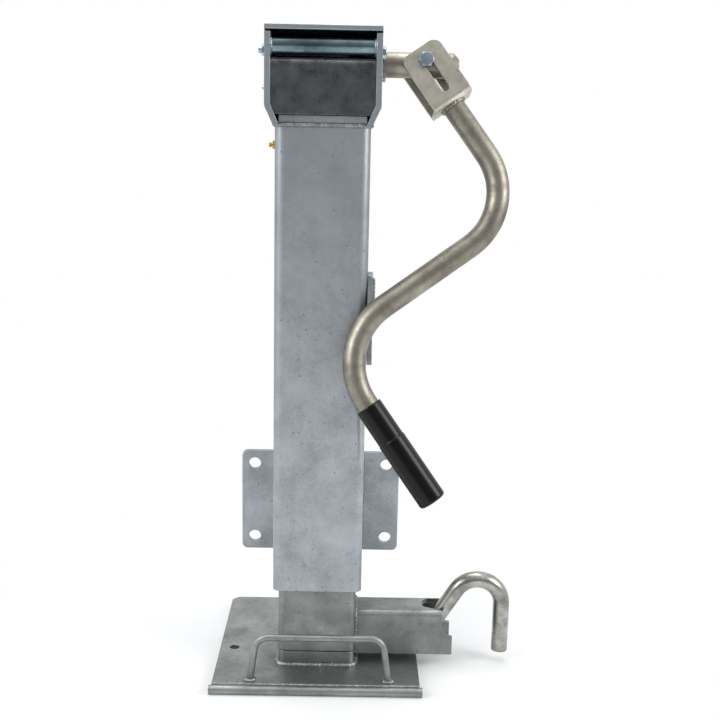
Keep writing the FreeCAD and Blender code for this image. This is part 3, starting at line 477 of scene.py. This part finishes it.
def loop(centre: Vector, across: Vector, up: Vector, count: int) -> list[Vector]:
    """Give points round a circle.

    Args:
        centre: The circle's centre.
        across: From the centre to the first point.
        up: From the centre to the point a quarter turn on.
        count: How many points.

    Returns:
        The points in order.
    """
    turns = (2 * math.pi * i / count for i in range(count))
    return [centre + across * math.cos(turn) + up * math.sin(turn) for turn in turns]


def rounded(half_x: float, half_y: float, z: float, corner: float) -> list[Vector]:
    """Give points round a rectangle with rounded corners.

    Args:
        half_x: Half its size along X.
        half_y: Half its size along Y.
        z: Its level.
        corner: Corner radius.

    Returns:
        Points in order round the rectangle.
    """
    points = []
    for quarter, (sx, sy) in enumerate(((1, 1), (-1, 1), (-1, -1), (1, -1))):
        for i in range(CORNER_STEPS + 1):
            angle = math.pi / 2 * (quarter + i / CORNER_STEPS)
            x = sx * (half_x - corner) + corner * math.cos(angle)
            y = sy * (half_y - corner) + corner * math.sin(angle)
            points.append(Vector((x, y, z)))
    return points


def rod(points: Sequence[Vector], radius: float, closed: bool, ripple: float = 0.0,
        pitch: int = 5, sides: int = 10) -> bmesh.types.BMesh:
    """Extrude a round section along points, with the scale-like ripples of a weld where asked.

    Args:
        points: Closely spaced centres.
        radius: Radius of the section.
        closed: Whether the last point joins the first.
        ripple: Share of the radius that each weld scale rises.
        pitch: Points from one weld scale to the next.
        sides: Corners of the section.

    Returns:
        The closed shape.
    """
    bm = bmesh.new()
    count = len(points)
    ring = list(bmesh.ops.create_circle(bm, segments=sides, radius=radius)["verts"])
    base = [v.co.copy() for v in ring]
    rings = [ring]
    for _ in range(count - 1):
        edges = [e for e in bm.edges if e.verts[0] in ring and e.verts[1] in ring]
        made = bmesh.ops.extrude_edge_only(bm, edges=edges)["geom"]
        near = {tuple(round(c, 9) for c in v.co): v
                for v in made if isinstance(v, bmesh.types.BMVert)}
        ring = [near[tuple(round(c, 9) for c in v.co)] for v in ring]
        bmesh.ops.translate(bm, verts=ring, vec=Vector((0, 0, RING_APART * radius)))
        rings.append(ring)
    turn = Quaternion()
    heading = Vector((0, 0, 1))
    for i, ring in enumerate(rings):
        behind = points[i - 1] if i or closed else points[i]
        ahead = points[(i + 1) % count] if i < count - 1 or closed else points[i]
        along = (ahead - behind).normalized()
        turn = heading.rotation_difference(along) @ turn
        heading = along
        scale = abs(math.sin(math.pi * i / pitch)) - 0.5
        swell = 1 + ripple * scale + SWELL_SHARE * ripple * math.sin(i * SWELL_TURN)
        if not closed:
            swell *= min(1.0, TIP_START + TIP_GROWTH * min(i, count - 1 - i))
        for v, flat in zip(ring, base):
            v.co = points[i] + turn @ (flat * swell)
    if closed:
        bmesh.ops.bridge_loops(bm, edges=[e for e in bm.edges if e.is_boundary])
    else:
        bmesh.ops.contextual_create(bm, geom=rings[0])
        bmesh.ops.contextual_create(bm, geom=rings[-1])
    return bm


@dataclass
class Assembly:
    """A part of the jack, with the finishes of its CAD nodes."""

    body: str
    finishes: dict[str, Finish]
    weld_radius: float = 2.4 * MM

    def build(self) -> None:
        """Dress the nodes and add what the scene makes itself."""
        dress(self.finishes)
        self.detail()

    def detail(self) -> None:
        """Add the pieces that aren't CAD nodes. A part without any leaves this as it is."""

    def bead(self, name: str, points: Sequence[Point], closed: bool = False, size: float = 1.0,
             finish: Finish = WELD, slot: str = "galvanised") -> None:
        """Lay one weld bead.

        Args:
            name: The piece's name.
            points: Corners of the run in metres.
            closed: Whether it runs all the way round.
            size: Share of the usual bead radius.
            finish: Its finish.
            slot: Not used.
        """
        radius = self.weld_radius * size
        run = spread([Vector(p) for p in points], radius * BEAD_STEP, closed)
        keep(rod(run, radius, closed, ripple=BEAD_RIPPLE), name, self.body, finish)

    def thread(self, name: str, start: Vector, along: Vector, length: float, radius: float,
               pitch: float, slot: str, finish: Finish) -> None:
        """Wind the crest of a screw thread round the end of a bolt.

        Args:
            name: The piece's name.
            start: Where the thread begins on the bolt's axis.
            along: Direction of the axis.
            length: Length of the thread.
            radius: Outer radius of the bolt.
            pitch: Distance from crest to crest.
            slot: Not used.
            finish: Its finish.
        """
        turn = Vector((0, 0, 1)).rotation_difference(along)
        points = []
        for i in range(int(length / pitch * THREAD_STEPS) + 1):
            angle = 2 * math.pi * i / THREAD_STEPS
            rise = pitch * i / THREAD_STEPS
            flat = Vector((math.cos(angle) * radius, math.sin(angle) * radius, rise))
            points.append(start + turn @ flat)
        crest = rod(points, CREST_SHARE * pitch, False, sides=6)
        keep(crest, name, self.body, finish)


@dataclass
class Column(Assembly):
    """Outer tube with its mounting plate, handle rest, gear housing and covers."""

    body: str = "column"
    finishes: dict[str, Finish] = field(default_factory=lambda: {
        "outer_tube": GALVANISED,
        "mounting_plate": GALVANISED,
        "gear_housing": GALVANISED,
        "bearing_plate": GALVANISED,
        "front_cover": DARK_SHEET,
        "cover_screw": BLUE_ZINC,
        # The cross bar wears the zinc with painted shade.
        "cross_bar": BAR_ZINC,
        "tie_bolt": BLUE_ZINC,
        "tie_nut": BLUE_ZINC,
        "top_cover": GALVANISED,
        "cover_seal": SEAL,
        "cover_screws": BLUE_ZINC,
        "shaft_bush": GEAR_STEEL,
        "race_fixed": GROUND_STEEL,
        "grease_nipple": BRASS,
        "handle_rest": GALVANISED,
    })

    def detail(self) -> None:
        """Lay the column's welds and cut the tie bolt's thread."""
        tube_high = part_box("outer_tube")[1]
        self.plate_welds(tube_high)
        self.rest_welds()
        inset = 0.2 * MM
        rim = rounded(tube_high.x + inset, tube_high.y + inset, tube_high.z - 0.6 * MM, 9 * MM)
        self.bead("housing_weld", rim, closed=True, size=0.9)
        self.bar_welds()
        self.tie_thread()

    def plate_welds(self, tube_high: Vector) -> None:
        """Weld the mounting plate to the tube's back corners.

        Args:
            tube_high: The tube's corner with the highest coordinates.
        """
        low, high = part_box("mounting_plate")
        y = low.y - 0.5 * MM
        ends = (low.z + 4 * MM, high.z - 4 * MM)
        for side, word in LEFT_AND_RIGHT:
            x = side * (tube_high.x - 0.5 * MM)
            self.bead(f"mount_weld_{word}", [(x, y, z) for z in ends])

    def rest_welds(self) -> None:
        """Weld both faces of the handle rest to the tube."""
        low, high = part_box("handle_rest")
        y = high.y - 4 * MM
        ends = (low.z + 24 * MM, high.z - 6 * MM)
        for face, word in ((low.x, "inner"), (high.x, "outer")):
            self.bead(f"rest_weld_{word}", [(face + 0.3 * MM, y, z) for z in ends])

    def bar_welds(self) -> None:
        """Weld both ends of the cross bar to the side plates."""
        low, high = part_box("cross_bar")
        middle = (low + high) / 2
        radius = (high.z - low.z) / 2
        for side, word in LEFT_AND_RIGHT:
            centre = Vector((side * (high.x - 0.6 * MM), middle.y, middle.z))
            ring = loop(centre, Vector((0, radius, 0)), Vector((0, 0, radius)), 24)
            # The bar's welds take the same zinc with painted shade.
            self.bead(f"bar_weld_{word}", ring, closed=True, size=0.6, finish=BAR_ZINC, slot="zinc")

    def tie_thread(self) -> None:
        """Cut the thread at the left end of the tie bolt."""
        low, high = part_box("tie_bolt")
        start = Vector((low.x + 3 * MM, (low.y + high.y) / 2, (low.z + high.z) / 2))
        self.thread("tie_thread", start, Vector((-1, 0, 0)), length=2.8 * MM, radius=2.9 * MM,
                    pitch=0.9 * MM, slot="zinc", finish=BLUE_ZINC)


@dataclass
class GearTrain(Assembly):
    """Input shaft, bevel gears, lead screw and thrust bearing."""

    body: str = "screw"
    finishes: dict[str, Finish] = field(default_factory=lambda: {
        "input_shaft": SATIN_NICKEL,
        "bevel_pinion": GEAR_STEEL,
        "bevel_wheel": GEAR_STEEL,
        "wheel_spacer": GEAR_STEEL,
        "lead_screw": GEAR_STEEL,
        "race_turning": GROUND_STEEL,
        "thrust_balls": GROUND_STEEL,
        "ball_cage": BRASS,
    })


@dataclass
class CrankHandle(Assembly):
    """Folding crank with its clevis and grip, as it hangs at rest."""

    body: str = "handle"
    finishes: dict[str, Finish] = field(default_factory=lambda: {
        # The clevis wears the paler satin nickel with painted light.
        "clevis": SATIN_SHEET,
        "crank_tube": SATIN_NICKEL,
        "hand_grip": GRIP,
        "handle_bolt": BLUE_ZINC,
        "handle_nut": BLUE_ZINC,
    })
    lean: float = 14.0
    drop: float = 54.7
    tube_radius: float = 11.0 * MM
    clevis_length: float = 46.5 * MM

    def detail(self) -> None:
        """Weld the tube to the clevis."""
        lean = Matrix.Rotation(math.radians(-self.lean), 3, "X")
        turn = lean @ Matrix.Rotation(math.radians(self.drop), 3, "Y")
        centre = self.pivot() + turn @ Vector((self.clevis_length + 0.4 * MM, 0, 0))
        across = turn @ Vector((0, self.tube_radius, 0))
        up = turn @ Vector((0, 0, self.tube_radius))
        self.bead("clevis_weld", loop(centre, across, up, 28), closed=True, size=0.9,
                  finish=SATIN_NICKEL, slot="satin_nickel")

    def pivot(self) -> Vector:
        """Give the point where the bolt's axis crosses the shaft's axis."""
        swivel = next(j for j in frame["joints"] if j["name"] == "handle_swivel")
        return Vector(swivel["pos_m"])


@dataclass
class LiftLeg(Assembly):
    """Lift tube with its nut and the guard of the lock pin."""

    body: str = "lift_leg"
    finishes: dict[str, Finish] = field(default_factory=lambda: {
        "lift_tube": DULL_GALVANISED,
        "lift_nut": GEAR_STEEL,
        "lock_guard": DULL_GALVANISED,
        "lock_guide": DULL_GALVANISED,
        "lock_spring": GROUND_STEEL,
    })

    def detail(self) -> None:
        """Weld the guard to the tube, up one side, over the top and down the other."""
        low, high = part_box("lock_guard")
        x = low.x + 0.4 * MM
        foot = low.z + 8 * MM
        corner = 5 * MM
        self.bead("guard_weld", [
            (x, low.y, foot), (x, low.y, high.z - corner), (x, low.y + corner, high.z),
            (x, high.y - corner, high.z), (x, high.y, high.z - corner), (x, high.y, foot),
        ], size=0.9)


@dataclass
class FootLeg(Assembly):
    """Drop leg with its socket, foot plate, edge bar and bail."""

    body: str = "foot_leg"
    finishes: dict[str, Finish] = field(default_factory=lambda: {
        "drop_leg": DULL_GALVANISED,
        "leg_socket": DULL_GALVANISED,
        "foot_plate": DULL_GALVANISED,
        "foot_edge_bar": DULL_GALVANISED,
        "foot_bail": DULL_GALVANISED,
    })
    bail_radius: float = 3.5 * MM
    spatter_seed: int = 7
    spatter_count: int = 70

    def detail(self) -> None:
        """Lay the foot's welds and drop the spatter."""
        low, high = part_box("leg_socket")
        rim = rounded(high.x + 0.4 * MM, high.y + 0.4 * MM, low.z + 0.6 * MM, 8 * MM)
        self.bead("socket_weld", rim, closed=True, size=1.25)
        self.bail_welds(low.z)
        bar_low, bar_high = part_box("foot_edge_bar")
        ends = (bar_low.x + 3 * MM, bar_high.x - 3 * MM)
        self.bead("bar_weld", [(x, bar_high.y, low.z + 0.1 * MM) for x in ends], size=0.75)
        self.spatter(low.z)

    def bail_welds(self, level: float) -> None:
        """Weld both ends of the bail to the foot plate.

        Args:
            level: Top of the foot plate.
        """
        low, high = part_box("foot_bail")
        y = (low.y + high.y) / 2
        radius = 4 * MM
        for x, word in ((low.x + self.bail_radius, "left"), (high.x - self.bail_radius, "right")):
            centre = Vector((x, y, level + 0.5 * MM))
            ring = loop(centre, Vector((radius, 0, 0)), Vector((0, radius, 0)), 20)
            self.bead(f"bail_weld_{word}", ring, closed=True, size=0.9)

    def spatter(self, level: float) -> None:
        """Drop small balls of weld spatter on the foot plate round the socket and the bail.

        Args:
            level: Top of the foot plate.
        """
        pick = random.Random(self.spatter_seed)
        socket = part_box("leg_socket")[1].x + 2 * MM
        bail_low, bail_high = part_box("foot_bail")
        bm = bmesh.new()
        for _ in range(self.spatter_count):
            if pick.random() < 0.6:
                x = pick.uniform(-1.3, 1.3) * socket
                y = -socket - abs(pick.gauss(0, 9 * MM))
            else:
                x = pick.choice((bail_low.x, bail_high.x)) + pick.gauss(0, 8 * MM)
                y = bail_low.y + self.bail_radius + pick.gauss(0, 5 * MM)
            size = pick.uniform(0.25, 0.7) * MM
            place = Matrix.Translation((x, max(y, bail_low.y - 3 * MM), level + 0.1 * size))
            bmesh.ops.create_icosphere(bm, subdivisions=1, radius=size, matrix=place)
        keep(bm, "weld_spatter", self.body, WELD)


@dataclass
class PullPin(Assembly):
    """Spring-loaded pin that locks the drop leg."""

    body: str = "pull_pin"
    finishes: dict[str, Finish] = field(default_factory=lambda: {
        "lock_pin": PIN_ZINC,
        "lock_collar": PIN_ZINC,
        "lock_roll_pin": GROUND_STEEL,
    })


@dataclass
class Studio:
    """Camera, floor, lamps and world."""

    sensor_mm: float = 36.0
    focal_px: float = 1101.8
    frame_px: float = 720.0
    place: tuple[float, float, float] = (0.0291, -1.0876, 0.5546)
    pitch: float = 12.01
    yaw: float = 0.54
    roll: float = -1.18
    lamp_aim: tuple[float, float, float] = (0.03, 0.0, 0.3)
    floor_half: float = 6.0

    def camera(self) -> None:
        """Put the camera where the photograph was taken from."""
        data = bpy.data.cameras.new("camera")
        data.sensor_width = self.sensor_mm
        data.lens = self.focal_px / self.frame_px * self.sensor_mm
        pitch, yaw, roll = (math.radians(a) for a in (self.pitch, self.yaw, self.roll))
        level = math.cos(pitch)
        ahead = Vector((math.sin(yaw) * level, math.cos(yaw) * level, -math.sin(pitch)))
        right = Vector((math.cos(yaw), -math.sin(yaw), 0))
        up = right.cross(ahead)
        right_rolled = right * math.cos(roll) - up * math.sin(roll)
        up_rolled = right * math.sin(roll) + up * math.cos(roll)
        turned = Matrix((right_rolled, up_rolled, -ahead)).transposed().to_4x4()
        camera = bpy.data.objects.new("camera", data)
        camera.matrix_world = Matrix.Translation(Vector(self.place)) @ turned
        bpy.context.scene.collection.objects.link(camera)
        bpy.context.scene.camera = camera

    def lamp(self, name: str, at: tuple[float, float, float], size: float, power: float) -> None:
        """Hang one soft box that faces the jack.

        Args:
            name: The lamp's name.
            at: Its place.
            size: Side of the box.
            power: Its power in watts.
        """
        data = bpy.data.lights.new(name, "AREA")
        data.size = size
        data.energy = power
        lamp = bpy.data.objects.new(name, data)
        aim = Vector(self.lamp_aim) - Vector(at)
        lamp.rotation_euler = aim.to_track_quat("-Z", "Y").to_euler()
        lamp.location = at
        bpy.context.scene.collection.objects.link(lamp)

    def floor(self) -> None:
        """Lay a pale floor that fades into the white background."""
        bm = bmesh.new()
        bmesh.ops.create_grid(bm, x_segments=2, y_segments=2, size=self.floor_half)
        mesh = bpy.data.meshes.new("floor")
        bm.to_mesh(mesh)
        bm.free()
        made = bpy.data.materials.new("pale_floor")
        made.use_nodes = True
        tree = made.node_tree
        tree.nodes.clear()
        place = add(tree, "ShaderNodeTexCoord").outputs["Object"]
        reach = add(tree, "ShaderNodeVectorMath", {0: place}, operation="LENGTH").outputs["Value"]
        fade = remap(tree, reach, (0.14, 0.42), interpolation_type="SMOOTHSTEP")
        plain = add(tree, "ShaderNodeBsdfDiffuse", {"Color": linear("f4f4f4")})
        glow = add(tree, "ShaderNodeEmission", {"Color": WHITE, "Strength": 1.0})
        rays = add(tree, "ShaderNodeLightPath").outputs
        seen = calculate(tree, "MULTIPLY", fade, rays["Is Camera Ray"])
        mixed = add(tree, "ShaderNodeMixShader", {0: seen, 1: plain.outputs[0], 2: glow.outputs[0]})
        add(tree, "ShaderNodeOutputMaterial", {"Surface": mixed.outputs[0]})
        mesh.materials.append(made)
        floor = bpy.data.objects.new("floor", mesh)
        bpy.context.scene.collection.objects.link(floor)

    def world(self) -> None:
        """Light from all round: white to the eye, with darker bands where metal mirrors it."""
        world = bpy.data.worlds.new("studio")
        bpy.context.scene.world = world
        world.use_nodes = True
        tree = world.node_tree
        tree.nodes.clear()
        facing = add(tree, "ShaderNodeTexCoord").outputs["Generated"]
        parts = add(tree, "ShaderNodeSeparateXYZ", {0: facing}).outputs
        front = remap(tree, parts["Y"], (-0.95, -0.3), (0.47, 1.1), interpolation_type="SMOOTHSTEP")
        high = remap(tree, parts["Z"], (-0.1, 0.6), (0.55, 1.0))
        across = calculate(tree, "ABSOLUTE", parts["X"])
        sides = remap(tree, across, (0.6, 0.95), (1.0, 1.35))
        band = calculate(tree, "MULTIPLY", front, high)
        mirrored = calculate(tree, "MULTIPLY", band, sides)
        ambient = add(tree, "ShaderNodeBackground", {"Color": linear("f2f4f6"), "Strength": 0.75})
        banded = add(tree, "ShaderNodeBackground", {"Color": WHITE, "Strength": mirrored})
        white = add(tree, "ShaderNodeBackground", {"Color": WHITE, "Strength": 1.0})
        rays = add(tree, "ShaderNodeLightPath").outputs
        glossy = add(tree, "ShaderNodeMixShader", {
            0: rays["Is Glossy Ray"], 1: ambient.outputs[0], 2: banded.outputs[0]})
        clear = calculate(tree, "MAXIMUM", rays["Is Camera Ray"], rays["Is Transmission Ray"])
        shown = add(tree, "ShaderNodeMixShader", {
            0: clear, 1: glossy.outputs[0], 2: white.outputs[0]})
        add(tree, "ShaderNodeOutputWorld", {"Surface": shown.outputs[0]})

    def build(self) -> None:
        """Set up the whole studio."""
        bpy.context.scene.view_settings.view_transform = "Standard"
        self.camera()
        self.floor()
        self.world()
        self.lamp("soft_box_left", at=(-1.5, -1.0, 1.3), size=1.1, power=16.0)
        self.lamp("soft_box_right", at=(1.6, -0.6, 1.1), size=0.9, power=14.0)
        self.lamp("soft_box_top", at=(0.0, 0.2, 2.0), size=1.0, power=12.0)


def main() -> None:
    """Build every part of the jack and the studio round it."""
    logging.basicConfig(level=logging.INFO, format="%(name)s: %(message)s")
    for part in (Column(), GearTrain(), CrankHandle(), LiftLeg(), FootLeg(), PullPin()):
        log.info("building %s", type(part).__name__)
        part.build()
    Studio().build()


if __name__ == "__main__":
    main()
